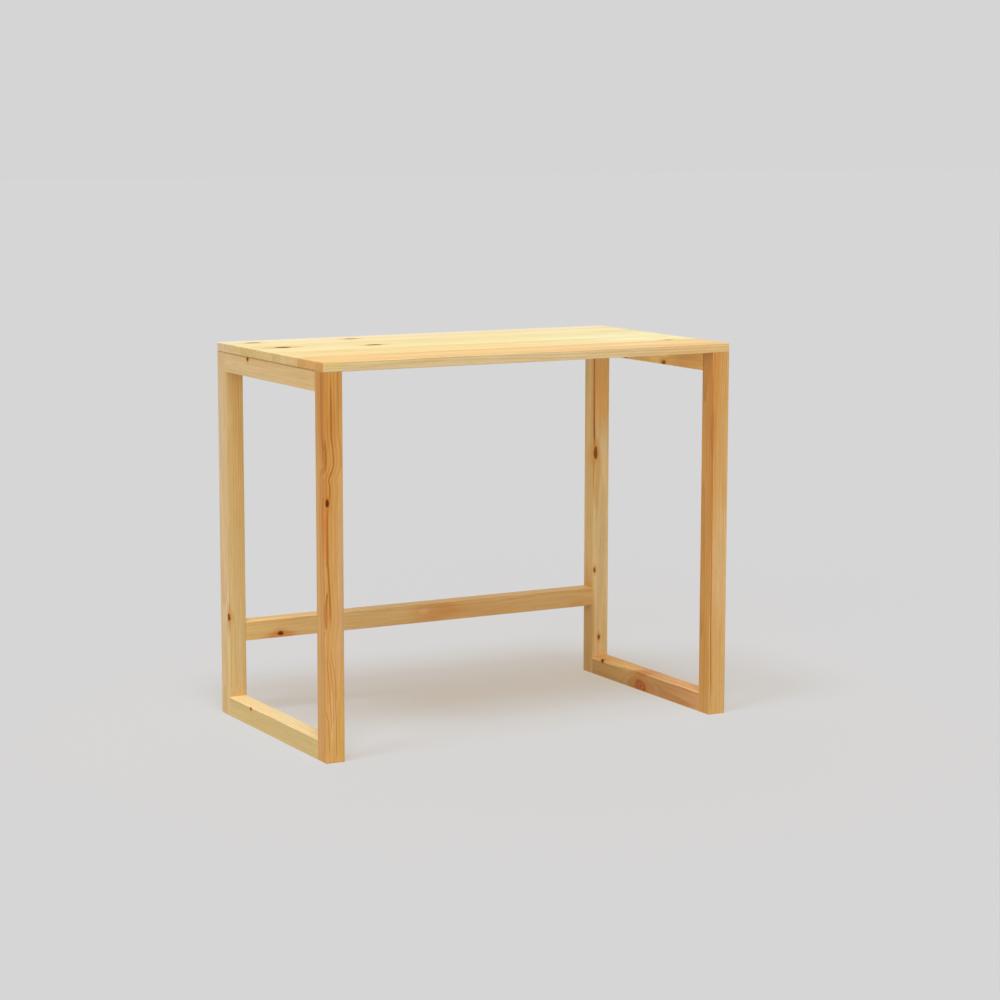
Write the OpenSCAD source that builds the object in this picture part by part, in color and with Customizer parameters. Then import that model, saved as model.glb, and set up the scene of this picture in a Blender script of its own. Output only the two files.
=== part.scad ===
// Writing desk in solid pine. Two end frames of square timber stand under a top that is
// glued up from narrow staves, and one low stretcher joins the frames at the back.
// Millimetres, Z up. The origin is on the floor under the middle of the top, with the
// desk's length along X and its front towards -Y.

/* [Overall size] */
// Length of the desk from its left end to its right end
desk_w = 888; // [600:1:1400]
// Height of the work surface above the floor
desk_h = 750; // [600:1:900]

/* [Top] */
// Width of one stave
stave_w = 38; // [30:0.5:60]
// Number of staves glued edge to edge
stave_n = 13; // [10:1:18]
// Thickness of the top
top_t = 18; // [16:0.5:30]

/* [Frame timber] */
// Side of the planed square timber in legs, rails and stretcher
stock = 38; // [34:0.5:50]
// Height of the stretcher's underside above the floor
stretcher_z = 150; // [60:1:450]
// Radius that the long edges of each member are sanded to
arris_r = 1.2; // [0.4:0.1:3]

/* [Dowels] */
// Diameter of a dowel over its ribs
dowel_d = 8; // [6:0.5:9]
// Length of a dowel, half of it in each member
dowel_l = 40; // [25:1:50]
// Distance between the two dowels of one joint
dowel_pitch = 18; // [14:1:20]
// Width of the chamfer on a dowel's ends
dowel_chamfer = 1; // [0.5:0.1:2]
// Number of glue flutes round a dowel
flute_n = 12; // [6:1:16]
// Depth of a glue flute
flute_depth = 0.35; // [0.2:0.05:0.5]
// Gap between a dowel's ribs and the wall of its bore
dowel_fit = 0.05; // [0.02:0.01:0.3]
// Room for glue past each end of a dowel
glue_room = 1.5; // [0.5:0.5:3]

/* [Screws under the top] */
// Outside diameter of a screw
screw_d = 4; // [3:0.5:5]
// Length of a screw over its countersunk head
screw_l = 35; // [30:1:45]
// Length of screw that goes into the top
screw_bite = 13; // [8:0.5:14]
// Diameter of a screw's head
screw_head_d = 8; // [7:0.5:10]
// Height of the straight rim under the face of a screw's head
screw_rim = 0.5; // [0.3:0.1:1]
// Length of a screw's point
screw_point = 5; // [3:0.5:7]
// Length of each arm of the cross recess, from the middle of the head
recess_arm = 2.2; // [1.5:0.1:2.8]
// Width of the cross recess
recess_w = 1; // [0.6:0.1:1.4]
// Depth of the cross recess
recess_depth = 2; // [1:0.1:2.5]
// Gap all round a screw in its hole and under the cone of its head
screw_fit = 0.1; // [0.05:0.05:0.3]
// Gap all round a screw's head in its counterbore
counterbore_fit = 0.75; // [0.3:0.05:1.5]

/* [Hidden] */
$fn = 48;
// What a cutter runs past the face that it starts from
past = 1;

desk_d = stave_n * stave_w;
leg_h = desk_h - top_t;
rail_l = desk_d - 2 * stock;
stretcher_l = desk_w - 2 * stock;

left = -1;
right = 1;
front = -1;
rear = 1;
// Middle of an end frame, of a leg in that frame, and of each level of rail
frame_x = (desk_w - stock) / 2;
leg_y = (desk_d - stock) / 2;
bottom_rail_z = stock / 2;
top_rail_z = leg_h - stock / 2;
stretcher_mid_z = stretcher_z + stock / 2;

dowel_bore_d = dowel_d + 2 * dowel_fit;
dowel_bore_l = dowel_l + 2 * glue_room;
flute_r = 2 * flute_depth;

// Depth of the counterbore, so that the right length of screw is left for the top
head_z = stock - (screw_l - screw_bite);
counterbore_d = screw_head_d + 2 * counterbore_fit;
// The cone under a screw's head is as high as it is wide, for an angle of 90 degrees
cone_h = (screw_head_d - screw_d) / 2;
// The outer screws stand clear of the dowels, each in the middle of a stave
screw_margin = stock + dowel_bore_l / 2 + counterbore_d;
screw_stave = ceil(screw_margin / stave_w + 0.5);
screw_staves = [screw_stave, ceil(stave_n / 2), stave_n + 1 - screw_stave];

pine = [0.83, 0.65, 0.41];
pine_top = [0.93, 0.82, 0.60];
heartwood = [0.78, 0.55, 0.30];
beech = [0.80, 0.66, 0.47];
zinc = [0.72, 0.72, 0.70];

function stave_name(i) = str("top_stave_", i < 10 ? "0" : "", i);
function stave_y(i) = (i - 0.5) * stave_w - desk_d / 2;

// A rectangle about the origin with its corners sanded round
module eased_rect(w, h) {
    square([w - 2 * arris_r, h], center = true);
    square([w, h - 2 * arris_r], center = true);
    for (x = [-1, 1], y = [-1, 1])
        translate([x * (w / 2 - arris_r), y * (h / 2 - arris_r)])
            circle(arris_r);
}

// A length of the square timber along Z, cut square at both ends
module timber(l) {
    linear_extrude(l, center = true)
        eased_rect(stock, stock);
}

// The outline of a leg from the side: round corners at the floor, square ones at the top
module leg_outline() {
    translate([0, leg_h / 2])
        eased_rect(stock, leg_h);
    translate([-stock / 2, leg_h / 2])
        square([stock, leg_h / 2]);
}

// A leg standing on the floor at the origin, before it is bored
module leg_blank() {
    intersection() {
        translate([0, 0, leg_h / 2])
            timber(leg_h);
        rotate([90, 0, 0])
            linear_extrude(stock, center = true)
                leg_outline();
        rotate([90, 0, 90])
            linear_extrude(stock, center = true)
                leg_outline();
    }
}

// The two bores of one joint, along Y and half in each member, with the joint at the origin
module joint_bores() {
    for (k = [-1, 1])
        translate([0, 0, k * dowel_pitch / 2])
            rotate([90, 0, 0])
                cylinder(d = dowel_bore_d, h = dowel_bore_l, center = true);
}

// A dowel along Z: chamfered ends, and flutes that let the glue past
module dowel() {
    r = dowel_d / 2;
    half = dowel_l / 2;
    difference() {
        rotate_extrude()
            polygon([
                [0, -half],
                [r - dowel_chamfer, -half],
                [r, dowel_chamfer - half],
                [r, half - dowel_chamfer],
                [r - dowel_chamfer, half],
                [0, half]
            ]);
        for (k = [1 : flute_n])
            rotate(k * 360 / flute_n)
                translate([r - flute_depth + flute_r, 0, 0])
                    cylinder(r = flute_r, h = dowel_l + 2 * past, center = true);
    }
}

// The two dowels of one joint, lying as joint_bores does
module joint_dowels() {
    for (k = [-1, 1])
        translate([0, 0, k * dowel_pitch / 2])
            rotate([90, 0, 0])
                dowel();
}

// Places its children at each of the four joints of an end frame
module at_frame_joints(side) {
    for (end = [front, rear], z = [bottom_rail_z, top_rail_z])
        translate([side * frame_x, end * rail_l / 2, z])
            children();
}

// Places its children at the stretcher's joint with one rear leg
module at_stretcher_joint(side) {
    translate([side * stretcher_l / 2, leg_y, stretcher_mid_z])
        rotate(90)
            children();
}

// A countersunk wood screw pointing up, the face of its head at the origin
module screw() {
    r = screw_d / 2;
    head_r = screw_head_d / 2;
    difference() {
        rotate_extrude()
            polygon([
                [0, 0],
                [head_r, 0],
                [head_r, screw_rim],
                [r, screw_rim + cone_h],
                [r, screw_l - screw_point],
                [0, screw_l]
            ]);
        for (a = [0, 90])
            rotate(a)
                translate([0, 0, recess_depth / 2])
                    cube([2 * recess_arm, recess_w, recess_depth + past], center = true);
    }
}

// The way of one screw through a rail and into the top, with the head's face at the origin:
// a counterbore, the countersink that the head bears on, and the hole for the rest
module screw_bore() {
    hole_r = screw_d / 2 + screw_fit;
    translate([0, 0, -head_z - past])
        cylinder(d = counterbore_d, h = head_z + past + screw_rim);
    translate([0, 0, screw_rim])
        cylinder(h = cone_h, r1 = hole_r + cone_h, r2 = hole_r);
    cylinder(r = hole_r, h = screw_l + past);
}

// Places its children at the head of each screw in one top rail
module at_screws(side) {
    for (i = screw_staves)
        translate([side * frame_x, stave_y(i), leg_h - stock + head_z])
            children();
}

// The whole top as one board, with its outer edges sanded round
module top_board() {
    intersection() {
        linear_extrude(top_t, center = true)
            eased_rect(desk_w, desk_d);
        rotate([90, 0, 0])
            linear_extrude(desk_d, center = true)
                eased_rect(desk_w, top_t);
        rotate([90, 0, 90])
            linear_extrude(desk_w, center = true)
                eased_rect(desk_d, top_t);
    }
}

module leg(side, end) {
    difference() {
        translate([side * frame_x, end * leg_y, 0])
            leg_blank();
        at_frame_joints(side)
            joint_bores();
        if (end == rear)
            at_stretcher_joint(side)
                joint_bores();
    }
}

module front_left_leg() {
    color(heartwood)
        leg(left, front);
}

module rear_left_leg() {
    color(pine)
        leg(left, rear);
}

module front_right_leg() {
    color(heartwood)
        leg(right, front);
}

module rear_right_leg() {
    color(pine)
        leg(right, rear);
}

module rail(side, z) {
    difference() {
        translate([side * frame_x, 0, z])
            rotate([90, 0, 0])
                timber(rail_l);
        at_frame_joints(side)
            joint_bores();
        at_screws(side)
            screw_bore();
    }
}

module left_bottom_rail() {
    color(pine)
        rail(left, bottom_rail_z);
}

module left_top_rail() {
    color(pine)
        rail(left, top_rail_z);
}

module right_bottom_rail() {
    color(pine)
        rail(right, bottom_rail_z);
}

module right_top_rail() {
    color(heartwood)
        rail(right, top_rail_z);
}

module rear_stretcher() {
    color(pine)
        difference() {
            translate([0, leg_y, stretcher_mid_z])
                rotate([90, 0, 90])
                    timber(stretcher_l);
            for (side = [left, right])
                at_stretcher_joint(side)
                    joint_bores();
        }
}

module left_frame_dowels() {
    color(beech)
        at_frame_joints(left)
            joint_dowels();
}

module right_frame_dowels() {
    color(beech)
        at_frame_joints(right)
            joint_dowels();
}

module stretcher_dowels() {
    color(beech)
        for (side = [left, right])
            at_stretcher_joint(side)
                joint_dowels();
}

module top_screws() {
    color(zinc)
        for (side = [left, right])
            at_screws(side)
                screw();
}

// Stave i of the top, counted from the front
module top_stave(i) {
    color(pine_top)
        difference() {
            intersection() {
                translate([0, 0, desk_h - top_t / 2])
                    top_board();
                translate([0, stave_y(i), desk_h - top_t / 2])
                    cube([desk_w, stave_w, top_t], center = true);
            }
            for (side = [left, right])
                at_screws(side)
                    screw_bore();
        }
}

front_left_leg();
rear_left_leg();
front_right_leg();
rear_right_leg();
left_bottom_rail();
left_top_rail();
right_bottom_rail();
right_top_rail();
rear_stretcher();
left_frame_dowels();
right_frame_dowels();
stretcher_dowels();
top_screws();
for (i = [1 : stave_n]) top_stave(i);
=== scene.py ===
"""The looks of a pine writing desk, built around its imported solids. Metres, Z up, front towards -Y."""
import math

import bpy
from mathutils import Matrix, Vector


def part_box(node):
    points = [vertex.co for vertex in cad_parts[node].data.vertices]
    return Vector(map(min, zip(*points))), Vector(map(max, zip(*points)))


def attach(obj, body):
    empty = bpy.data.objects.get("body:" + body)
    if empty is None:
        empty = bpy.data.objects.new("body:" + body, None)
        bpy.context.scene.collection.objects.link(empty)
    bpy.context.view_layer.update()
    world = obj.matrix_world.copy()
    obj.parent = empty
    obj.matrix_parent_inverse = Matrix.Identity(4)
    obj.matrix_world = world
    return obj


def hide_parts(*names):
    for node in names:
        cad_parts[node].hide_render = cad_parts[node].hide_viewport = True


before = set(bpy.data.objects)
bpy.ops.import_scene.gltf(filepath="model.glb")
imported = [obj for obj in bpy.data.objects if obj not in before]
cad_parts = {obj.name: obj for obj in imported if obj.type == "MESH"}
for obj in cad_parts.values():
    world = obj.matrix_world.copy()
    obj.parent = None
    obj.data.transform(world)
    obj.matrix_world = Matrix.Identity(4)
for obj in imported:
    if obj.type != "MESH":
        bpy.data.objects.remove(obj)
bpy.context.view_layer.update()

# The camera stands at the desk's front left, a little above the top, and looks slightly down.
# Its place, turn and focal length come from the desk's own edges in the picture's square frame.
CAMERA_PLACE = (-2.4918, -4.6089, 1.2035)
CAMERA_YAW = math.radians(28.97)
CAMERA_PITCH = math.radians(8.35)
CAMERA_ROLL = math.radians(0.09)
FOCAL_PIXELS = 2647
PICTURE_PIXELS = 1000
SENSOR_MM = 36

camera_data = bpy.data.cameras.new("camera")
camera_data.sensor_width = SENSOR_MM
camera_data.lens = SENSOR_MM * FOCAL_PIXELS / PICTURE_PIXELS
camera = bpy.data.objects.new("camera", camera_data)
camera.location = CAMERA_PLACE
camera.rotation_euler = (math.pi / 2 - CAMERA_PITCH, -CAMERA_ROLL, -CAMERA_YAW)
bpy.context.scene.collection.objects.link(camera)
bpy.context.scene.camera = camera

# The desk stands on a wide, plain pale grey floor that runs into a backdrop of the same grey.
# The floor takes the desk's soft shadow. What the camera sees of it is half its own glow, a little
# warmer than the rest, so that the shadow is as faint and as warm as it is in life.


class Socket:
    """One value in a tree of nodes. Arithmetic on it adds Math nodes."""

    def __init__(self, tree, link=None):
        self.tree = tree
        self.link = link

    def node(self, kind, inputs=None, out=0, stops=None, **settings):
        """Adds a node, sets it up, fills its sockets by name or number, and gives one of its outputs."""
        node = self.tree.nodes.new("ShaderNode" + kind)
        for name, choice in settings.items():
            setattr(node, name, choice)
        if stops:
            node.color_ramp.interpolation = "CARDINAL"
            ramp = node.color_ramp.elements
            while len(ramp) < len(stops):
                ramp.new(0.5)
            for element, (position, level) in zip(ramp, stops):
                element.position = position
                element.color = level
        for name, value in (inputs or {}).items():
            if isinstance(value, Socket):
                self.tree.links.new(value.link, node.inputs[name])
            else:
                node.inputs[name].default_value = value
        return Socket(self.tree, node.outputs[out] if len(node.outputs) else node)

    def math(self, operation, *values):
        return self.node("Math", dict(enumerate(values)), operation=operation)

    def __add__(self, other):
        return self.math("ADD", self, other)

    def __radd__(self, other):
        return self.math("ADD", other, self)

    def __sub__(self, other):
        return self.math("SUBTRACT", self, other)

    def __rsub__(self, other):
        return self.math("SUBTRACT", other, self)

    def __mul__(self, other):
        return self.math("MULTIPLY", self, other)

    def __rmul__(self, other):
        return self.math("MULTIPLY", other, self)

    def __truediv__(self, other):
        return self.math("DIVIDE", self, other)

    def __rtruediv__(self, other):
        return self.math("DIVIDE", other, self)

    def __abs__(self):
        return self.math("ABSOLUTE", self)

    def smooth(self, low, high):
        """From 0 where this value is low to 1 where it is high, with soft ends."""
        return self.node("MapRange", {0: self, 1: low, 2: high}, interpolation_type="SMOOTHSTEP")

    def blend(self, first, second, how="MIX"):
        """The first colour where this value is 0, the second where it is 1."""
        return self.node("Mix", {0: self, 6: first, 7: second}, out=2, data_type="RGBA", blend_type=how)


def colour(red, green, blue):
    """A colour as it is seen on a screen, 0 to 255, in the linear light that the nodes use."""
    def linear(level):
        level /= 255
        return level / 12.92 if level <= 0.04045 else ((level + 0.055) / 1.055) ** 2.4
    return (linear(red), linear(green), linear(blue), 1)


def bare_material(name):
    """A new material without nodes, and a socket of its tree to start its maths from."""
    material = bpy.data.materials.new(name)
    material.use_nodes = True
    material.node_tree.nodes.clear()
    return material, Socket(material.node_tree)


BACKDROP = colour(213, 213, 213)
FLOOR = colour(197, 197, 197)
FLOOR_SEEN = colour(160, 184, 208)
FLOOR_GLOW = colour(247, 226, 200)
GLOW_SHARE = 0.5
FLOOR_SIZE = 80

bpy.ops.object.select_all(action="DESELECT")
bpy.ops.mesh.primitive_plane_add(size=FLOOR_SIZE, location=(0, 0, 0))
floor = bpy.context.object
floor.name = "floor"
floor_material, ground = bare_material("floor")
floor.data.materials.append(floor_material)
watched = ground.node("LightPath", out=0)
matt = ground.node("BsdfDiffuse", {"Color": watched.blend(FLOOR, FLOOR_SEEN)})
glow = ground.node("Emission", {"Color": FLOOR_GLOW, "Strength": 1})
seen_floor = ground.node("MixShader", {0: watched * GLOW_SHARE, 1: matt, 2: glow})
ground.node("OutputMaterial", {0: seen_floor})

# Two soft lamps hang above the desk, one a little to its front and a weaker one to its left. A wide
# lamp stands low at the front left and lights the faces under the top. A faint one behind the desk
# puts a sheen on the board, and the room fills in the rest.
SKY_LEVEL = 0.24
KEY_LEVEL = 0.54 * math.pi
KEY_SPREAD = math.radians(18)
KEY_FROM = Vector((-0.13, -0.36, 1))
SIDE_LEVEL = 0.31 * math.pi
SIDE_SPREAD = math.radians(16)
SIDE_FROM = Vector((-0.47, -0.13, 1))
FILL_LEVEL = 0.475 * math.pi
FILL_SPREAD = math.radians(60)
FILL_FROM = Vector((-0.69, -0.74, 0.20))
BACK_LEVEL = 0.13 * math.pi
BACK_SPREAD = math.radians(70)
BACK_FROM = Vector((-0.05, 0.80, 0.70))

world = bpy.data.worlds.new("room")
bpy.context.scene.world = world
world.use_nodes = True
world.node_tree.nodes.clear()
room = Socket(world.node_tree)
seen = room.node("LightPath", out=0)
mirrored = room.node("LightPath", out=3)
through = room.node("LightPath", out=6)
shown = seen.math("MAXIMUM", seen, mirrored.math("MAXIMUM", mirrored, through))
lit = room.node("Background", {"Color": (1, 1, 1, 1), "Strength": SKY_LEVEL})
backdrop = room.node("Background", {"Color": BACKDROP, "Strength": 1})
room.node("OutputWorld", {"Surface": room.node("MixShader", {0: shown, 1: lit, 2: backdrop})})

for name, level, spread, place in (
    ("key", KEY_LEVEL, KEY_SPREAD, KEY_FROM),
    ("side", SIDE_LEVEL, SIDE_SPREAD, SIDE_FROM),
    ("fill", FILL_LEVEL, FILL_SPREAD, FILL_FROM),
    ("back", BACK_LEVEL, BACK_SPREAD, BACK_FROM),
):
    lamp = bpy.data.objects.new(name, bpy.data.lights.new(name, "SUN"))
    lamp.data.energy = level
    lamp.data.angle = spread
    lamp.rotation_euler = place.to_track_quat("Z", "Y").to_euler()
    bpy.context.scene.collection.objects.link(lamp)

bpy.context.scene.view_settings.view_transform = "Standard"

# Each leg is a length of square pine, planed, sanded on its long edges and finished with a clear
# satin oil. The grain runs up it, from its own place in the trunk. The front left one is cut near
# the heart: it is orange, with a dark wavering vein and one dark knot. Three legs grow oranger
# towards their tops, partly as heartwood and partly as painted warm light from the board above.
LATEWOOD = (0.78, 0.58, 0.35)
HEARTWOOD = (0.92, 0.74, 0.46)
END_GRAIN = (0.84, 0.70, 0.61)
RESIN = (0.58, 0.34, 0.13)
BLUSH = (1.0, 0.84, 0.66)
OLIVE_BAND = (0.86, 0.80, 0.62)
PORES = (0.55, 0.38, 0.22)
SILKY_THREAD = (1.06, 1.08, 1.12)
SILKY_FIBRE = (1.08, 1.10, 1.16)
RUBBED_EDGE = (1.06, 1.06, 1.04)
SEAM_SHADE = (0.30, 0.12, 0.02)
AROUND_KNOT = (0.82, 0.50, 0.22)
OIL_SHEEN = 0.2
GRAIN_BUMP = 0.5
GRAIN_DEPTH = 0.00025
PITH_WANDER = 0.018
RING_WAVER = 0.0013
YEARS_VARY = 2.4
TRAIL_MARGIN = 0.002
KNOT_RISE = 0.25
KNOT_REACH = 5.5
KNOT_PUSH = 1.1
ARRIS = 0.0012
FRESH_KNOT = ((0.310, 0.110, 0.008, 1), (0.150, 0.042, 0.002, 1))
RED_KNOT = ((0.620, 0.215, 0.070, 1), (0.300, 0.052, 0.009, 1))
DEAD_KNOT = ((0.120, 0.014, 0.001, 1), (0.045, 0.003, 0.001, 1))


def shade(tone, tint):
    """A colour seen through a tint."""
    return tuple(level * part for level, part in zip(tone, tint)) + (1,)


def dress(node, material):
    """Gives a solid this material in place of its plain one."""
    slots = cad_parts[node].data.materials
    slots.clear()
    slots.append(material)


def pine(node, tone, pith, lean=(0, 0), ring=0.004, figure=0.5, heart=None, knots=(), veins=(), patches=(),
         grain_and_light_sides=(), seed=0.0, board=None, seam=None):
    """The solid wood of one piece, cut from a trunk whose pith passes at pith, off the piece's middle.

    tone is its pale wood and lean how far the pith drifts for each metre of length. ring is the width
    of a year's growth and figure how dark the end of a year is. heart is the tapering heartwood:
    (radius, growth of the radius for each metre of height, strength). On the legs the growth towards
    the top is partly painted warm light from the board above.
    Each knot is (place on a face, radius, stretch along the grain, its colours), and each vein of
    resin in the front is (axis across, half width, strength, its places as (along, across)). A pith
    given as such places follows them. Each patch is (middle, radii, tint, strength); most are the
    wood's own zones, and a few are painted light and painted sheen. Each side is (axis, direction,
    tint), for the faces that look that way: partly how the rings meet the face, and partly painted
    light and shade on it. board gives the corners of the glued board that the piece is a part of.
    seam is the height at which the piece meets another one, where a fine line of painted shade runs
    along the joint. seed sets the piece's grain apart from the others'.
    """
    low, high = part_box(node)
    middle = (low + high) / 2
    size = high - low
    along = max(range(3), key=lambda axis: size[axis])
    cross = [axis for axis in range(3) if axis != along]

    # a and b run across the grain and w along it, all from the piece's middle.
    material, wood = bare_material(node + "_wood")
    place = wood.node("TexCoord", out=3)
    axes = [wood.node("SeparateXYZ", {0: place}, out=axis) for axis in range(3)]
    a = axes[cross[0]] - middle[cross[0]]
    b = axes[cross[1]] - middle[cross[1]]
    w = axes[along] - middle[along]

    def noise(scale_across, scale_along, detail=2.0, rough=0.5, out=0, shift=0.0):
        spot = wood.node("CombineXYZ", {
            0: a * scale_across, 1: b * scale_across, 2: w * scale_along + (seed + shift),
        })
        inputs = {"Vector": spot, "Scale": 1.0, "Detail": detail, "Roughness": rough}
        return wood.node("TexNoise", inputs, out=out)

    def trail(places):
        """The place across of a line that runs with the grain, and how far along it this point is."""
        first, last = places[0][0], places[-1][0]
        nearest = min(spot for _, spot in places) - TRAIL_MARGIN
        reach = max(spot for _, spot in places) + TRAIL_MARGIN - nearest
        stops = [
            ((spot_w - first) / (last - first), ((spot - nearest) / reach,) * 3 + (1,))
            for spot_w, spot in places
        ]
        ahead = (axes[along] - first) / (last - first)
        return wood.node("ValToRGB", {0: ahead}, stops=stops) * reach + nearest, ahead

    # The pith wanders slowly, and the rings waver a little more finely.
    drift = noise(4, 2.6, detail=1.0, out=1)
    drift_a = wood.node("SeparateColor", {0: drift}, out=0) - 0.5
    drift_b = wood.node("SeparateColor", {0: drift}, out=1) - 0.5
    if isinstance(pith[0], tuple):
        from_a = axes[cross[0]] - trail(pith[0])[0]
        pith = (pith[0][len(pith[0]) // 2][1] - middle[cross[0]], pith[1])
    else:
        from_a = a - w * lean[0] - pith[0] + drift_a * PITH_WANDER
    from_b = b - w * lean[1] - pith[1] + drift_b * PITH_WANDER
    across = from_a * from_a + from_b * from_b
    radius = across.math("SQRT", across) + (noise(75, 11, shift=7.0) - 0.5) * RING_WAVER

    # A branch grows out from the pith. It pushes the rings aside and shows as a knot on a face.
    marks = []
    for spot, size_of_knot, stretch, knot_colours in knots:
        spot_a = spot[cross[0]] - middle[cross[0]]
        spot_b = spot[cross[1]] - middle[cross[1]]
        spot_w = spot[along] - middle[along]
        out_a = spot_a - pith[0] - lean[0] * spot_w
        out_b = spot_b - pith[1] - lean[1] * spot_w
        reach = math.hypot(out_a, out_b)
        turn_a = out_a / reach
        turn_b = out_b / reach
        grown = (a - spot_a) * turn_a + (b - spot_b) * turn_b
        aside = (b - spot_b) * turn_a - (a - spot_a) * turn_b
        above = (w - spot_w - grown * KNOT_RISE) / stretch
        square = aside * aside + above * above
        uneven = noise(0.30 / size_of_knot, 0.22 / size_of_knot, shift=spot_w * 9) - 0.5
        frayed = noise(1.30 / size_of_knot, 0.45 / size_of_knot, shift=spot_w * 5 + 1) - 0.5
        off = square.math("SQRT", square) / size_of_knot + uneven * 1.2 + frayed * 0.7
        inside = grown.smooth(-reach, -reach * 0.8)
        radius = radius - off.smooth(KNOT_REACH, 0.2) * inside * (size_of_knot * KNOT_PUSH)
        marks.append((off, inside, knot_colours))

    # A year's growth starts pale and soft, ends dark and hard, and stops sharply.
    widths = wood.node("TexNoise", {"W": radius * 60 + seed, "Scale": 1.0}, noise_dimensions="1D") - 0.5
    years = radius / ring + widths * YEARS_VARY
    season = years.math("FRACT", years)
    year = years.math("FLOOR", years)
    vigour = wood.node("TexWhiteNoise", {"W": year + seed}, noise_dimensions="1D")
    late = season.smooth(0.30, 0.94) * season.smooth(1.0, 0.955) * (vigour * 0.75 + 0.25)

    # Every marking is drawn out along the grain: fibres, threads, streaks, bands and slow blushes, and
    # the finest ones, the cells and the resin canals.
    fibre = noise(950, 16, detail=3.0, rough=0.62, shift=3.0)
    thread = noise(430, 8, detail=2.0, shift=47.0)
    streak = noise(170, 5, detail=2.0, shift=11.0)
    band = noise(60, 2.4, detail=1.0, shift=17.0)
    blush = noise(22, 1.6, detail=1.0, shift=31.0)
    cells = noise(2800, 130, detail=1.0, shift=5.0)
    canals = noise(1500, 46, detail=0.0, shift=23.0).smooth(0.72, 0.80)

    dark = shade(tone, LATEWOOD)
    colours = (late * figure).blend(tuple(tone[:3]) + (1,), dark)
    # The heartwood widens with height; on the legs this is partly painted warm light from the board above.
    if heart:
        heart_radius, taper_and_warm_light, heart_strength = heart
        inward = w * taper_and_warm_light - radius + (streak - 0.5) * 0.008 + heart_radius
        core = inward.smooth(-0.3 * abs(taper_and_warm_light) - 0.003, 0.3 * abs(taper_and_warm_light) + 0.003) * heart_strength
        colours = core.blend(colours, shade(tone, HEARTWOOD))
        colours = (core * late * figure).blend(colours, shade(tone, RESIN))
    colours = (blush.smooth(0.42, 0.66) * 0.45).blend(colours, shade(tone, BLUSH))
    colours = (band.smooth(0.36, 0.66) * 0.30).blend(colours, shade(tone, OLIVE_BAND))
    colours = (streak.smooth(0.56, 0.28) * 0.22).blend(colours, dark)
    pitted = fibre.smooth(0.60, 0.34) * 0.18 + cells.smooth(0.66, 0.5) * 0.06
    colours = pitted.blend(colours, shade(tone, PORES))
    colours = (thread.smooth(0.50, 0.32) * 0.30).blend(colours, dark)
    colours = (thread.smooth(0.55, 0.72) * 0.22).blend(colours, shade(tone, SILKY_THREAD))
    colours = (fibre.smooth(0.58, 0.76) * 0.16).blend(colours, shade(tone, SILKY_FIBRE))
    colours = (canals * 0.35).blend(colours, shade(tone, RESIN))

    # Veins of resin run with the grain, and a tree's slow changes leave paler and redder patches.
    # A few patches are painted light and painted sheen instead.
    for axis, half_width, strength, places in veins:
        path, ahead = trail(places)
        ragged = (fibre - 0.5) * half_width + (streak - 0.5) * (half_width * 2.2)
        beside = abs(axes[axis] - path + ragged) / half_width
        deep = axes[3 - axis - along] - low[3 - axis - along]
        fading = ahead.smooth(-0.03, 0.06) * ahead.smooth(1.03, 0.9) * (band.smooth(0.25, 0.55) * 0.4 + 0.6)
        fading = fading * deep.smooth(0.004, 0.001)
        colours = (beside.smooth(4.0, 0.4) * fading * strength * 0.6).blend(colours, shade(tone, HEARTWOOD))
        colours = (beside.smooth(1.5, 0.2) * fading * strength).blend(colours, shade(tone, RESIN))
    for spot, reach_of, tint, strength in patches:
        parts = [(axes[axis] - spot[axis]) / reach_of[axis] for axis in range(3)]
        square = parts[0] * parts[0] + parts[1] * parts[1] + parts[2] * parts[2]
        ragged = square.math("SQRT", square) + (streak - 0.5) * 0.7 + (band - 0.5) * 0.5
        colours = (ragged.smooth(1.15, 0.5) * strength).blend(colours, tint + (1,), "MULTIPLY")
    normals = [wood.node("SeparateXYZ", {0: wood.node("TexCoord", out=1)}, out=axis) for axis in range(3)]
    # Each side's tint is partly how the rings meet the face and partly painted light and shade.
    for axis, direction, tint in grain_and_light_sides:
        colours = (normals[axis] * direction).smooth(0.6, 0.9).blend(colours, tint + (1,), "MULTIPLY")

    # The cut ends drink more oil than the long faces, and the rubbed edges are paler and smoother.
    end_grain = abs(normals[along]).smooth(0.55, 0.85)
    pores = noise(420, 0, detail=1.0, shift=41.0).smooth(0.35, 0.65)
    colours = (end_grain * (pores * 0.3 + 0.7)).blend(colours, END_GRAIN + (1,), "MULTIPLY")
    low_edge, high_edge = board or (low, high)
    centre = (low_edge + high_edge) / 2
    depth = [abs(axes[axis] - centre[axis]) - (high_edge - low_edge)[axis] / 2 for axis in range(3)]
    pairs = [depth[i].math("MINIMUM", depth[i], depth[j]) for i, j in ((0, 1), (1, 2), (0, 2))]
    edge = pairs[0].math("MAXIMUM", pairs[0].math("MAXIMUM", pairs[0], pairs[1]), pairs[2])
    worn = edge.smooth(-1.6 * ARRIS, -0.3 * ARRIS) * streak.smooth(0.3, 0.6)
    colours = (worn * 0.30).blend(colours, shade(tone, RUBBED_EDGE))
    # A fine line of painted shade runs along the joint at the seam's height.
    if seam is not None:
        joint_shade = abs(axes[2] - seam).smooth(1.5 * ARRIS, 0.5 * ARRIS) * abs(normals[0]).smooth(0.6, 0.9)
        colours = (joint_shade * 0.95).blend(colours, shade(tone, SEAM_SHADE))

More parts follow.
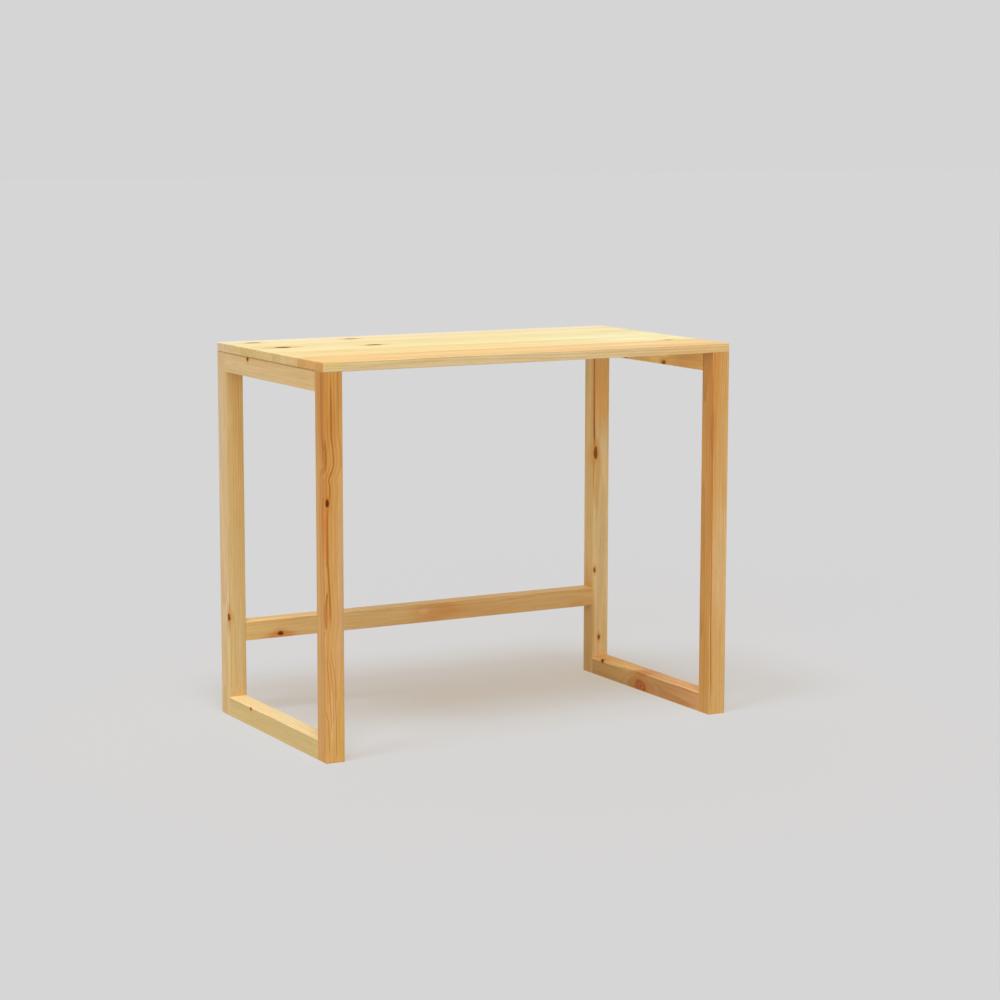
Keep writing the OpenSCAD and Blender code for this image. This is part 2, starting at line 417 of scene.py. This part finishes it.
    height = fibre * 0.35 + late * 0.30 + cells * 0.15
    rough = 0.46 + fibre * 0.14 + end_grain * 0.2 - worn * 0.1
    for off, inside, (flesh, bark) in marks:
        body = off.smooth(1.25, 0.6) * inside
        rim = off.smooth(0.55, 0.95) * off.smooth(1.40, 1.0) * inside
        halo = off.smooth(3.6, 0.7) * inside
        wraps = (off * 3.6).math("FRACT", off * 3.6).smooth(0.2, 0.95)
        colours = (halo * 0.8).blend(colours, shade(tone, AROUND_KNOT))
        colours = (body * 0.95).blend(colours, (wraps * 0.4 + off.smooth(0.6, 0.0) * 0.6).blend(flesh, bark))
        colours = (rim * (streak.smooth(0.35, 0.6) * 0.5 + 0.35)).blend(colours, bark)
        height = height - rim * 0.6
        rough = rough + body * 0.3

    bump = wood.node("Bump", {"Strength": GRAIN_BUMP, "Distance": GRAIN_DEPTH, "Height": height})
    shader = wood.node("BsdfPrincipled", {
        "Base Color": colours, "Roughness": rough, "Normal": bump, "Specular IOR Level": OIL_SHEEN,
    })
    wood.node("OutputMaterial", {0: shader})
    dress(node, material)


# The front left leg's dark lines run up its front, each as places of (height, place across). Its rings
# follow the first one, which bends past the knot.
VEIN = (
    (0.02, -0.4445), (0.12, -0.4420), (0.235, -0.4385), (0.263, -0.4335), (0.310, -0.4350),
    (0.385, -0.4382), (0.430, -0.4378), (0.478, -0.4372), (0.499, -0.4335), (0.522, -0.4330),
    (0.534, -0.4348), (0.556, -0.4264), (0.582, -0.4258), (0.612, -0.4295), (0.732, -0.4302),
)
DEEP_VEIN = ((0.370, -0.4396), (0.400, -0.4392), (0.435, -0.4390), (0.485, -0.4384))
FLAME = ((0.255, -0.4422), (0.270, -0.4431), (0.282, -0.4433), (0.300, -0.4424), (0.325, -0.4400))
LOW_LINES = (
    ((0.060, -0.4335), (0.095, -0.4345), (0.140, -0.4370), (0.174, -0.4395), (0.207, -0.4415)),
    ((0.075, -0.4290), (0.110, -0.4290), (0.140, -0.4300), (0.174, -0.4335), (0.200, -0.4365)),
    ((0.120, -0.4235), (0.159, -0.4251), (0.176, -0.4271), (0.191, -0.4306), (0.215, -0.4325)),
    ((0.020, -0.4378), (0.055, -0.4383), (0.079, -0.4394), (0.100, -0.4443), (0.125, -0.4452)),
    ((0.010, -0.4225), (0.058, -0.4231), (0.087, -0.4239), (0.117, -0.4255), (0.140, -0.4262)),
)
pine(
    "front_left_leg", colour(224, 178, 110), pith=(VEIN, -0.013), lean=(0.0, 0.003),
    ring=0.0058, figure=0.8, seed=1.0,
    heart=(0.014, 0.035, 1.0),
    knots=[((-0.4386, -0.247, 0.4894), 0.0030, 2.5, DEAD_KNOT)],
    veins=[(0, 0.0022, 1.0, VEIN[3:]), (0, 0.0024, 1.0, DEEP_VEIN), (0, 0.0018, 1.0, FLAME)]
    + [(0, 0.0009, 0.7, line) for line in LOW_LINES],
    # Orange wood lies along the left arris, and paler wood along the right arris. The paler wood
    # towards the foot is partly painted light thrown up from the floor.
    patches=[
        ((-0.4450, -0.240, 0.640), (0.0060, 0.020, 0.130), (0.96, 0.88, 0.76), 0.9),
        ((-0.4422, -0.247, 0.579), (0.0045, 0.012, 0.030), (0.80, 0.60, 0.34), 0.9),
        ((-0.4455, -0.243, 0.455), (0.0072, 0.013, 0.090), (0.96, 0.71, 0.54), 0.9),
        ((-0.4440, -0.235, 0.740), (0.0040, 0.040, 0.200), (0.97, 0.90, 0.78), 0.9),
        ((-0.4270, -0.247, 0.640), (0.0130, 0.010, 0.060), (0.97, 0.90, 0.82), 0.9),
        ((-0.4105, -0.247, 0.700), (0.0080, 0.010, 0.050), (0.92, 0.89, 0.88), 0.9),
        ((-0.4435, -0.247, 0.281), (0.0065, 0.010, 0.032), (0.92, 0.70, 0.54), 0.9),
        ((-0.4330, -0.247, 0.135), (0.0120, 0.010, 0.085), (1.04, 1.04, 1.14), 0.9),
        ((-0.4305, -0.247, 0.200), (0.0085, 0.010, 0.240), (1.02, 1.06, 1.18), 0.8),
        ((-0.4305, -0.247, 0.092), (0.0085, 0.010, 0.055), (1.05, 1.12, 1.30), 0.9),
        ((-0.4110, -0.247, 0.340), (0.0080, 0.010, 0.200), (0.92, 1.03, 1.36), 0.8),
        ((-0.4150, -0.247, 0.060), (0.0080, 0.010, 0.090), (0.98, 1.04, 0.86), 0.9),
        ((-0.4330, -0.247, 0.030), (0.0100, 0.010, 0.036), (1.02, 1.08, 1.00), 0.8),
        ((-0.4230, -0.247, 0.400), (0.0160, 0.010, 0.300), (1.00, 1.03, 1.18), 0.8),
    ],
    grain_and_light_sides=[(0, -1, (0.93, 0.91, 0.90))],
)
pine(
    "rear_left_leg", colour(229, 199, 150), pith=(0.050, 0.004), lean=(-0.006, 0.004),
    ring=0.0040, figure=0.5, seed=2.0,
    heart=(0.050, 0.06, 0.8),
    knots=[((-0.4432, 0.2096, 0.2009), 0.0015, 4.2, DEAD_KNOT)],
    patches=[
        ((-0.4430, 0.2095, 0.198), (0.005, 0.006, 0.035), (0.90, 0.70, 0.50), 0.9),
        ((-0.4440, 0.228, 0.640), (0.010, 0.030, 0.160), (1.00, 1.05, 1.20), 0.9),
        ((-0.4440, 0.228, 0.060), (0.010, 0.030, 0.130), (0.97, 0.96, 0.82), 0.9),
        ((-0.4250, 0.209, 0.700), (0.020, 0.010, 0.300), (1.05, 1.04, 1.08), 0.9),
    ],
    grain_and_light_sides=[(0, -1, (0.96, 0.97, 1.00)), (1, -1, (0.94, 0.95, 0.84))],
)
pine(
    "front_right_leg", colour(222, 182, 120), pith=(-0.040, 0.010), lean=(0.005, -0.006),
    ring=0.0046, figure=0.7, seed=3.0,
    heart=(0.036, 0.05, 0.9),
    veins=[(0, 0.0016, 0.9, (
        (0.03, 0.4105), (0.15, 0.4085), (0.30, 0.4075), (0.54, 0.4068), (0.61, 0.4065), (0.72, 0.4062),
    ))],
    patches=[
        ((0.408, -0.247, 0.570), (0.004, 0.010, 0.060), (0.84, 0.68, 0.48), 0.8),
        ((0.413, -0.247, 0.680), (0.008, 0.010, 0.120), (1.02, 0.88, 0.74), 0.8),
        ((0.428, -0.247, 0.325), (0.030, 0.010, 0.140), (1.05, 1.15, 1.40), 0.9),
        ((0.406, -0.228, 0.060), (0.008, 0.040, 0.160), (0.93, 0.86, 0.70), 0.9),
        ((0.406, -0.245, 0.500), (0.004, 0.012, 0.400), (1.00, 0.86, 0.72), 0.8),
    ],
    grain_and_light_sides=[(0, -1, (0.94, 0.88, 0.82)), (1, -1, (1.00, 0.96, 0.90))],
)
pine(
    "rear_right_leg", colour(253, 218, 152), pith=(0.004, 0.050), lean=(-0.004, 0.006),
    ring=0.0046, figure=0.5, seed=4.0,
    knots=[
        ((0.4106, 0.209, 0.4796), 0.0038, 2.9, FRESH_KNOT),
        ((0.4100, 0.209, 0.2267), 0.0020, 2.4, FRESH_KNOT),
        ((0.4213, 0.209, 0.0786), 0.0025, 2.2, FRESH_KNOT),
    ],
    veins=[(0, 0.0017, 1.0, (
        (0.480, 0.4102), (0.500, 0.4090), (0.530, 0.4070), (0.580, 0.4062), (0.660, 0.4060), (0.73, 0.4060),
    ))],
    # A dark streak runs down the inner arris, and pale and orange zones take turns beside it.
    patches=[
        ((0.428, 0.209, 0.660), (0.024, 0.010, 0.170), (0.99, 0.84, 0.64), 0.9),
        ((0.4060, 0.230, 0.640), (0.005, 0.012, 0.190), (1.04, 1.08, 1.14), 0.9),
        ((0.4060, 0.213, 0.640), (0.005, 0.009, 0.190), (1.00, 0.86, 0.70), 0.9),
        ((0.413, 0.209, 0.440), (0.010, 0.010, 0.090), (0.92, 0.80, 0.60), 0.9),
        ((0.430, 0.209, 0.518), (0.015, 0.012, 0.052), (0.98, 1.04, 1.22), 0.9),
        ((0.4240, 0.209, 0.300), (0.0180, 0.010, 0.150), (0.93, 0.93, 0.97), 0.9),
        ((0.404, 0.228, 0.100), (0.008, 0.040, 0.160), (0.84, 0.73, 0.58), 0.9),
        ((0.4055, 0.2085, 0.640), (0.0036, 0.0036, 0.290), (0.44, 0.24, 0.03), 0.9),
        ((0.4200, 0.2090, 0.600), (0.0200, 0.0100, 0.060), (1.06, 0.95, 0.84), 0.8),
    ],
    grain_and_light_sides=[(0, -1, (0.94, 0.91, 0.86)), (1, -1, (0.98, 1.00, 1.08))],
)

# The rails are cut from the same square timber and butt between the legs of their own end, held by
# two glued dowels at each joint. The top ones carry the board, and the joint shows as a dark line of
# painted shade.
SEAM = 0.732
pine(
    "left_bottom_rail", colour(238, 213, 158), pith=(0.036, -0.050), lean=(0.004, 0.004),
    ring=0.0042, figure=0.4, seed=5.0,
    knots=[((-0.444, 0.1020, 0.0350), 0.0019, 1.6, DEAD_KNOT)],
    # Its upper face carries a little painted light, where the board above shades it.
    grain_and_light_sides=[(0, -1, (0.80, 0.82, 0.75)), (2, 1, (1.02, 1.06, 1.14))],
)
pine(
    "left_top_rail", colour(230, 200, 146), pith=(0.055, -0.012), lean=(0.004, -0.006),
    ring=0.0040, figure=0.4, seed=6.0,
    knots=[((-0.444, 0.0976, 0.7285), 0.0034, 1.2, DEAD_KNOT)],
    grain_and_light_sides=[(0, -1, (0.95, 0.97, 0.98))],
    seam=SEAM,
)
pine(
    "right_bottom_rail", colour(224, 180, 118), pith=(0.034, -0.016), lean=(0.006, 0.005),
    ring=0.0048, figure=0.8, seed=7.0,
    knots=[
        ((0.406, 0.1664, 0.0350), 0.0028, 1.2, DEAD_KNOT),
        ((0.406, 0.0140, 0.0090), 0.0124, 1.4, RED_KNOT),
    ],
    # The inner face is redder towards the front. The upper face carries painted light, brighter than
    # bare pine and brightest at the rear, where the board above shades it.
    patches=[
        ((0.406, -0.120, 0.012), (0.030, 0.150, 0.034), (0.80, 0.70, 0.72), 0.9),
        ((0.406, 0.075, 0.028), (0.012, 0.110, 0.024), (1.08, 1.18, 1.20), 0.8),
        ((0.406, 0.034, 0.010), (0.012, 0.034, 0.016), (0.88, 0.74, 0.74), 0.8),
        ((0.412, 0.010, 0.037), (0.014, 0.032, 0.010), (0.86, 0.64, 0.44), 0.9),
        ((0.425, 0.170, 0.038), (0.050, 0.160, 0.008), (1.56, 1.66, 1.52), 0.9),
    ],
    grain_and_light_sides=[(0, -1, (1.02, 1.00, 1.00)), (2, 1, (1.20, 1.12, 1.10))],
)
pine(
    "right_top_rail", colour(255, 216, 136), pith=(0.024, 0.012), lean=(0.006, -0.004),
    ring=0.0046, figure=0.6, seed=8.0,
    heart=(0.04, 0.0, 0.6),
    knots=[
        ((0.406, -0.0644, 0.6985), 0.0038, 1.7, FRESH_KNOT),
        ((0.406, 0.083, 0.696), 0.0026, 1.6, FRESH_KNOT),
    ],
    patches=[
        ((0.406, -0.040, 0.712), (0.012, 0.040, 0.022), (1.16, 1.24, 1.40), 0.8),
        ((0.406, -0.165, 0.700), (0.030, 0.070, 0.040), (0.90, 0.78, 0.72), 0.8),
    ],
    seam=SEAM,
)

# The stretcher is one more length of the same timber, butted between the rear legs at shin height. Two
# glued dowels at each end hold it, and it keeps the two end frames upright.
pine(
    "rear_stretcher", colour(240, 194, 125), pith=(0.050, -0.016), lean=(0.003, 0.008),
    ring=0.0046, figure=0.5, seed=9.0,
    knots=[((-0.3304, 0.209, 0.1580), 0.0040, 1.9, DEAD_KNOT)],
    patches=[
        ((-0.330, 0.209, 0.155), (0.042, 0.010, 0.008), (0.86, 0.58, 0.40), 0.8),
        ((-0.400, 0.209, 0.170), (0.070, 0.040, 0.030), (0.92, 1.06, 1.20), 0.8),
        ((-0.340, 0.209, 0.180), (0.110, 0.010, 0.030), (0.96, 1.00, 1.04), 0.8),
        ((-0.170, 0.209, 0.172), (0.190, 0.010, 0.040), (1.05, 1.19, 1.46), 0.9),
        ((0.022, 0.209, 0.176), (0.062, 0.010, 0.028), (0.95, 0.83, 0.78), 0.9),
        ((-0.004, 0.209, 0.173), (0.016, 0.010, 0.007), (1.14, 1.20, 1.55), 0.9),
        ((0.240, 0.209, 0.172), (0.170, 0.010, 0.040), (0.99, 1.03, 1.16), 0.9),
        ((0.365, 0.209, 0.156), (0.022, 0.010, 0.008), (0.98, 0.84, 0.74), 0.8),
    ],
    # Its upper face carries painted light, brighter than bare pine, where the board above shades it.
    grain_and_light_sides=[(2, 1, (1.36, 1.50, 1.70))],
)

# The top is a board glued up from staves of pine, each from another part of the trunk and turned its
# own way. It is planed flat after gluing, so only the grain and the tone change from stave to stave.
# The staves towards the rear are paler, partly their own tone and partly painted sheen.
STAVE_TONES_AND_SHEEN = (
    colour(233, 196, 134), colour(242, 205, 140), colour(233, 200, 135), colour(244, 219, 156),
    colour(243, 224, 164), colour(237, 218, 156), colour(243, 233, 175), colour(243, 228, 173),
    colour(236, 225, 170), colour(237, 222, 166), colour(242, 232, 180), colour(240, 226, 183),
    colour(240, 231, 197),
)
STAVE_TURN = 2.4
PITH_BELOW = 0.045
PITH_RISE = 0.022
PITH_ASIDE = 0.020
PITH_SLANT = (0.012, 0.010)
FRONT_EDGE = (1, -1, (0.97, 1.14, 1.46))
KNOTTY = ((0.200, 0.095, 0.003, 1), (0.085, 0.030, 0.001, 1))
FAINT_KNOT = ((0.400, 0.225, 0.060, 1), (0.250, 0.125, 0.030, 1))
STAVE_KNOTS = {
    4: [((0.3770, -0.1270, 0.750), 0.0045, 2.2, FAINT_KNOT)],
    8: [((-0.1960, 0.0485, 0.750), 0.0084, 1.6, KNOTTY)],
    9: [((-0.3785, 0.0780, 0.750), 0.0094, 1.5, KNOTTY)],
    12: [
        ((-0.3880, 0.2010, 0.750), 0.0055, 2.2, FAINT_KNOT),
        ((-0.1760, 0.1940, 0.750), 0.0060, 2.0, FAINT_KNOT),
    ],
}
PALE_LEFT_END = ((-0.444, -0.075, 0.741), (0.006, 0.090, 0.016), (1.00, 1.07, 1.25), 0.9)
# In staves 4 to 6 the first patch is painted sheen, growing towards the right end.
STAVE_PATCHES = {
    1: [
        ((-0.390, -0.228, 0.750), (0.170, 0.040, 0.010), (1.05, 1.06, 0.96), 0.9),
        ((-0.432, -0.247, 0.748), (0.040, 0.012, 0.012), (1.02, 1.02, 0.80), 0.9),
        ((0.400, -0.247, 0.741), (0.140, 0.010, 0.014), (1.08, 0.94, 0.80), 0.9),
    ],
    4: [((0.400, -0.114, 0.750), (0.200, 0.040, 0.010), (1.06, 1.11, 1.20), 0.9), PALE_LEFT_END],
    5: [((0.400, -0.076, 0.750), (0.200, 0.040, 0.010), (1.03, 1.09, 1.20), 0.9), PALE_LEFT_END],
    6: [((0.400, -0.038, 0.750), (0.200, 0.040, 0.010), (1.05, 1.11, 1.24), 0.9), PALE_LEFT_END],
    9: [((-0.3740, 0.0790, 0.750), (0.044, 0.014, 0.010), (0.86, 0.68, 0.40), 0.9)],
}
staves = sorted(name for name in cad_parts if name.startswith("top_stave_"))
board_low = Vector(tuple(min(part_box(name)[0][axis] for name in staves) for axis in range(3)))
board_high = Vector(tuple(max(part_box(name)[1][axis] for name in staves) for axis in range(3)))
# Painted sheen brightens the right end of the whole board.
RIGHT_END_SHEEN = ((0.36, -0.05, board_high.z), (0.30, 0.20, 0.02), (0.98, 1.08, 1.24), 0.9)

# Each stave's pith lies below the board, at a place and a slant of its own.
for number, (name, tone) in enumerate(zip(staves, STAVE_TONES_AND_SHEEN), 1):
    turn = number * STAVE_TURN
    pine(
        name, tone,
        pith=(PITH_ASIDE * math.cos(turn), -PITH_BELOW - PITH_RISE * math.sin(turn * 1.7)),
        lean=(PITH_SLANT[0] * math.sin(turn), PITH_SLANT[1] * math.cos(turn)),
        ring=0.0042, figure=0.6, seed=20.0 + number * 3.1,
        knots=STAVE_KNOTS.get(number, ()),
        patches=[RIGHT_END_SHEEN] + STAVE_PATCHES.get(number, []),
        grain_and_light_sides=[FRONT_EDGE] if number == 1 else (),
        board=(board_low, board_high),
        seam=SEAM if number > 1 else None,
    )

# The dowels in the joints are turned beech rod: pale pinkish wood with a fine even grain, full of
# short brown flecks along the rod. They are glued and driven home, and only their ends could be seen.
BEECH = colour(222, 184, 146)
DARK_FIBRE = (0.84, 0.76, 0.66)
PINK_CLOUD = (0.94, 0.84, 0.76)
FLECK = (0.50, 0.36, 0.24)
FIBRE_ALONG_ACROSS = (60, 900)
FLECK_ALONG_ACROSS = (420, 2600)

for node in ("left_frame_dowels", "right_frame_dowels", "stretcher_dowels"):
    rod = 0 if node == "stretcher_dowels" else 1
    material, beech = bare_material(node + "_beech")
    place = beech.node("TexCoord", out=3)
    fine, short = (
        beech.node("Mapping", {0: place, 3: [along if axis == rod else across for axis in range(3)]})
        for along, across in (FIBRE_ALONG_ACROSS, FLECK_ALONG_ACROSS)
    )
    fibre = beech.node("TexNoise", {"Vector": fine, "Scale": 1.0, "Detail": 3.0})
    fleck = beech.node("TexNoise", {"Vector": short, "Scale": 1.0, "Detail": 1.0}).smooth(0.60, 0.72)
    cloud = beech.node("TexNoise", {"Vector": place, "Scale": 45.0, "Detail": 2.0}).smooth(0.35, 0.7)
    colours = (fibre.smooth(0.35, 0.65) * 0.5).blend(BEECH, shade(BEECH, DARK_FIBRE))
    colours = (cloud * 0.4).blend(colours, shade(BEECH, PINK_CLOUD))
    colours = (fleck * 0.6).blend(colours, shade(BEECH, FLECK))
    bump = beech.node("Bump", {"Strength": 0.4, "Distance": 0.0001, "Height": fibre * 0.5 - fleck * 0.5})
    shader = beech.node("BsdfPrincipled", {
        "Base Color": colours, "Roughness": fibre * 0.2 + 0.5, "Normal": bump,
        "Specular IOR Level": OIL_SHEEN,
    })
    beech.node("OutputMaterial", {0: shader})
    dress(node, material)

# Six countersunk steel screws hold the top down, three through each top rail from below. Each is
# headed and threaded cold from wire and zinc plated, with a cross recess punched in its head.
HEAD_RADIUS = 0.004
HEAD_RIM = 0.0005
SHANK_RADIUS = 0.0014
THREAD_RADIUS = 0.0020
THREAD_PITCH = 0.0018
THREAD_FROM = 0.0115
POINT = 0.0048
RIDGE = 0.0005
UNDERCUT = 0.0001
UNDERCUT_RISE = 0.0003
RECESS = (0.0046, 0.0009, 0.0034)
ROUND_SIDES = 40
THREAD_STEPS = 24
SMOOTH_BELOW = math.radians(32)
SCREW_TURN = 0.7
ZINC = colour(196, 200, 202)
DULL_ZINC = (0.80, 0.80, 0.72)
SCRATCHED_ZINC = (0.55, 0.54, 0.52)
SCRATCH_SCALE = (9000, 700, 700)


def select_only(piece):
    """Selects one piece, so that the next operators act on it alone."""
    bpy.ops.object.select_all(action="DESELECT")
    piece.select_set(True)
    bpy.context.view_layer.objects.active = piece


# The body is drawn up from the head's rim: the cone, the plain shank, the undercut and the point.
low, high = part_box("top_screws")
length = (high - low).z
cone = HEAD_RADIUS - SHANK_RADIUS
bpy.ops.object.select_all(action="DESELECT")
bpy.ops.mesh.primitive_cylinder_add(
    vertices=ROUND_SIDES, radius=HEAD_RADIUS, depth=HEAD_RIM, location=(0, 0, HEAD_RIM / 2),
)
body = bpy.context.object
bpy.ops.object.transform_apply(location=True, rotation=True, scale=True)
for face in body.data.polygons:
    face.select = face.normal.z > 0.9
bpy.ops.object.mode_set(mode="EDIT")
bpy.ops.mesh.select_mode(type="FACE")
radius = HEAD_RADIUS
for rise, radius_then in (
    (cone, SHANK_RADIUS),
    (THREAD_FROM - HEAD_RIM - cone, SHANK_RADIUS),
    (UNDERCUT_RISE, SHANK_RADIUS - UNDERCUT),
    (length - THREAD_FROM - UNDERCUT_RISE - POINT, SHANK_RADIUS - UNDERCUT),
    (POINT * 0.6, SHANK_RADIUS * 0.5),
    (POINT * 0.4, SHANK_RADIUS * 0.06),
):
    bpy.ops.mesh.extrude_region_move(TRANSFORM_OT_translate={"value": (0, 0, rise)})
    part = radius_then / radius
    bpy.ops.transform.resize(value=(part, part, 1))
    radius = radius_then
bpy.ops.object.mode_set(mode="OBJECT")

# The recess is cut with two crossed blades.
for turn in (0, math.pi / 2):
    bpy.ops.object.select_all(action="DESELECT")
    bpy.ops.mesh.primitive_cube_add(size=1, location=(0, 0, 0), rotation=(0, 0, turn), scale=RECESS)
    blade = bpy.context.object
    cut = body.modifiers.new("cut", "BOOLEAN")
    cut.operation = "DIFFERENCE"
    cut.object = blade
    select_only(body)
    bpy.ops.object.modifier_apply(modifier="cut")
    bpy.data.objects.remove(blade)

# The thread is a small triangle carried round the shank in a helix.
bpy.ops.object.select_all(action="DESELECT")
bpy.ops.mesh.primitive_circle_add(
    vertices=3, radius=RIDGE, location=(THREAD_RADIUS - RIDGE, 0, THREAD_FROM + RIDGE),
    rotation=(math.pi / 2, math.pi / 2, 0),
)
thread = bpy.context.object
bpy.ops.object.transform_apply(location=True, rotation=True, scale=True)
helix = thread.modifiers.new("helix", "SCREW")
helix.axis = "Z"
helix.screw_offset = THREAD_PITCH
helix.iterations = int((length - THREAD_FROM - POINT) / THREAD_PITCH)
helix.steps = THREAD_STEPS
helix.render_steps = THREAD_STEPS
bpy.ops.object.modifier_apply(modifier="helix")
bpy.ops.object.mode_set(mode="EDIT")
bpy.ops.mesh.select_all(action="SELECT")
bpy.ops.mesh.select_mode(type="EDGE")
bpy.ops.mesh.select_all(action="DESELECT")
bpy.ops.mesh.select_non_manifold()
bpy.ops.mesh.edge_face_add()
bpy.ops.object.mode_set(mode="OBJECT")
body.select_set(True)
bpy.context.view_layer.objects.active = body
bpy.ops.object.join()
bpy.ops.object.mode_set(mode="EDIT")
bpy.ops.mesh.select_all(action="SELECT")
bpy.ops.mesh.normals_make_consistent(inside=False)
bpy.ops.object.mode_set(mode="OBJECT")
bpy.ops.object.shade_smooth_by_angle(angle=SMOOTH_BELOW)
body.data.materials.clear()

# The plating is dull in cloudy patches and scratched by the driver.
plating, zinc = bare_material("zinc_plate")
place = zinc.node("TexCoord", out=3)
bloom = zinc.node("TexNoise", {"Vector": place, "Scale": 900.0, "Detail": 3.0})
stain = zinc.node("TexNoise", {"Vector": place, "Scale": 260.0, "Detail": 2.0}).smooth(0.45, 0.75)
drawn_out = zinc.node("Mapping", {0: place, 3: SCRATCH_SCALE})
scratch = zinc.node("TexNoise", {"Vector": drawn_out, "Scale": 1.0}).smooth(0.62, 0.7)
colours = (stain * 0.5).blend(ZINC, shade(ZINC, DULL_ZINC))
colours = (scratch * 0.5).blend(colours, shade(ZINC, SCRATCHED_ZINC))
shader = zinc.node("BsdfPrincipled", {
    "Base Color": colours, "Metallic": 1.0 - stain * 0.25, "Roughness": bloom * 0.25 + stain * 0.2 + 0.22,
    "Normal": zinc.node("Bump", {"Strength": 0.4, "Distance": 0.00003, "Height": bloom - scratch}),
})
zinc.node("OutputMaterial", {0: shader})
body.data.materials.append(plating)

# Three screws stand in each top rail, each stopped at its own turn.
rows = (low.y + HEAD_RADIUS, (low.y + high.y) / 2, high.y - HEAD_RADIUS)
screw_places = [(x, y) for x in (low.x + HEAD_RADIUS, high.x - HEAD_RADIUS) for y in rows]
for number, (x, y) in enumerate(screw_places, 1):
    select_only(body)
    bpy.ops.object.duplicate()
    screw = bpy.context.object
    screw.name = f"top_screw_{number}"
    screw.location = (x, y, low.z)
    screw.rotation_euler = (0, 0, number * SCREW_TURN)
    bpy.ops.object.transform_apply(location=True, rotation=True, scale=True)
    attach(screw, "root")
    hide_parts("top_screws")
bpy.data.objects.remove(body)
